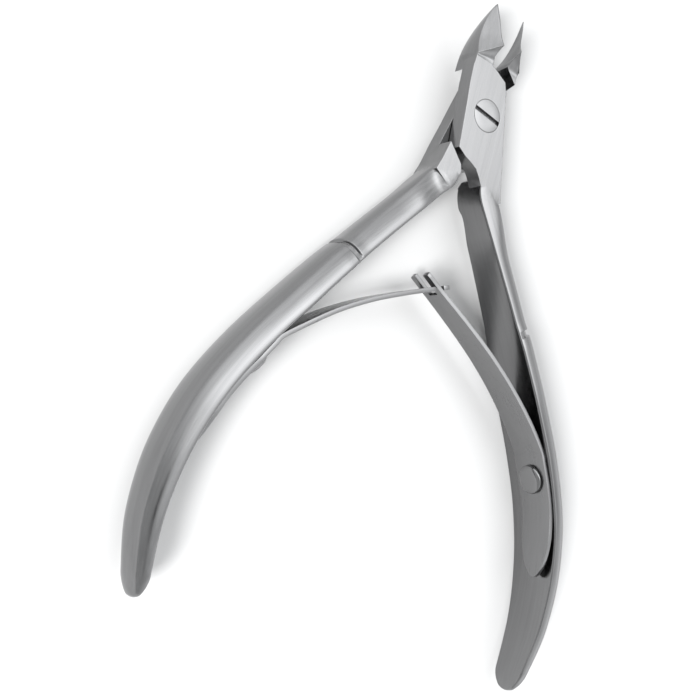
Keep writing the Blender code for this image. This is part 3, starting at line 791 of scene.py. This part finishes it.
# ---------------------------------------------------------------- stage
def key_light():
    """Square light high on the left; it only casts the shadows on the table."""
    light = bpy.data.lights.new("key_left", "AREA")
    light.shape = "RECTANGLE"
    light.size = KEY_SIZE
    light.size_y = KEY_SIZE
    light.energy = KEY_POWER
    obj = bpy.data.objects.new("key_left", light)
    way = Vector(KEY_DIRECTION).normalized()
    obj.location = way * KEY_DISTANCE
    obj.rotation_euler = way.to_track_quat("Z", "Y").to_euler()
    obj.visible_glossy = False
    bpy.context.scene.collection.objects.link(obj)


def studio_dome():
    """Soft surroundings: a grey room with softboxes and dark flags, each a smooth lobe of light."""
    world = bpy.data.worlds.new("studio")
    world.use_nodes = True
    tree = world.node_tree
    way = tree.nodes.new("ShaderNodeTexCoord").outputs["Generated"]
    total = ROOM_LEVEL
    for direction, tightness, strength in SOFTBOXES:
        dot = tree.nodes.new("ShaderNodeVectorMath")
        dot.operation = "DOT_PRODUCT"
        tree.links.new(way, dot.inputs[0])
        dot.inputs[1].default_value = Vector(direction).normalized()
        fall = tree.nodes.new("ShaderNodeMath")
        fall.operation = "MULTIPLY_ADD"
        tree.links.new(dot.outputs["Value"], fall.inputs[0])
        fall.inputs[1].default_value = tightness
        fall.inputs[2].default_value = -tightness
        lobe = tree.nodes.new("ShaderNodeMath")
        lobe.operation = "EXPONENT"
        tree.links.new(fall.outputs[0], lobe.inputs[0])
        add = tree.nodes.new("ShaderNodeMath")
        add.operation = "MULTIPLY_ADD"
        tree.links.new(lobe.outputs[0], add.inputs[0])
        add.inputs[1].default_value = strength
        if isinstance(total, float):
            add.inputs[2].default_value = total
        else:
            tree.links.new(total, add.inputs[2])
        total = add.outputs[0]
    background = tree.nodes["Background"]
    background.inputs["Color"].default_value = (0.98, 0.99, 1.0, 1.0)
    tree.links.new(total, background.inputs["Strength"])
    bpy.context.scene.world = world


def stage():
    """Pale table, light and camera."""
    bm = bmesh.new()
    bmesh.ops.create_grid(bm, x_segments=8, y_segments=8, size=TABLE_HALF)
    mesh = bpy.data.meshes.new("table")
    bm.to_mesh(mesh)
    bm.free()
    mesh.materials.append(table_top())
    floor = bpy.data.objects.new("table", mesh)
    bpy.context.scene.collection.objects.link(floor)

    studio_dome()
    key_light()

    camera = bpy.data.cameras.new("camera")
    camera.lens = CAMERA_LENS
    camera.sensor_width = 36.0
    camera.clip_start = 0.01
    obj = bpy.data.objects.new("camera", camera)
    obj.location = PIVOT + Vector(CAMERA_AT) * MM
    obj.rotation_euler = [math.radians(a) for a in CAMERA_TURN]
    bpy.context.scene.collection.objects.link(obj)
    bpy.context.scene.camera = obj
    bpy.context.scene.view_settings.view_transform = "Standard"


def finish_piece(obj, node, body, side, material):
    """Gives a piece its grain and material, and puts it in the frame in place of its node."""
    grain_coordinates(obj, side)
    obj.data.materials.clear()
    obj.data.materials.append(material)
    in_frame(obj)
    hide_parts(node)
    if body:
        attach(obj, body)


def main():
    ground = steel("satin_steel", *SATIN)
    polished = steel("screw_steel", *POLISHED)
    rolled = steel("spring_steel", *ROLLED)

    for name, side in (("upper_half", 1), ("lower_half", -1)):
        finish_piece(half(name + "_visual", side), name, name, side, ground)
    finish_piece(pivot_screw(), "pivot_screw", "lower_half", 1, polished)
    for name, side, body in (("right", 1, "upper_half"), ("left", -1, "lower_half")):
        screw = spring_screw(name + "_screw_visual", side)
        finish_piece(screw, name + "_spring_screw", body, side, polished)
        leaf = spring_leaf(name + "_leaf_visual", side)
        finish_piece(leaf, name + "_spring_leaf", None, side, rolled)
        flex = JOINT[name + "_leaf_flex"]
        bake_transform(leaf)
    stage()


main()
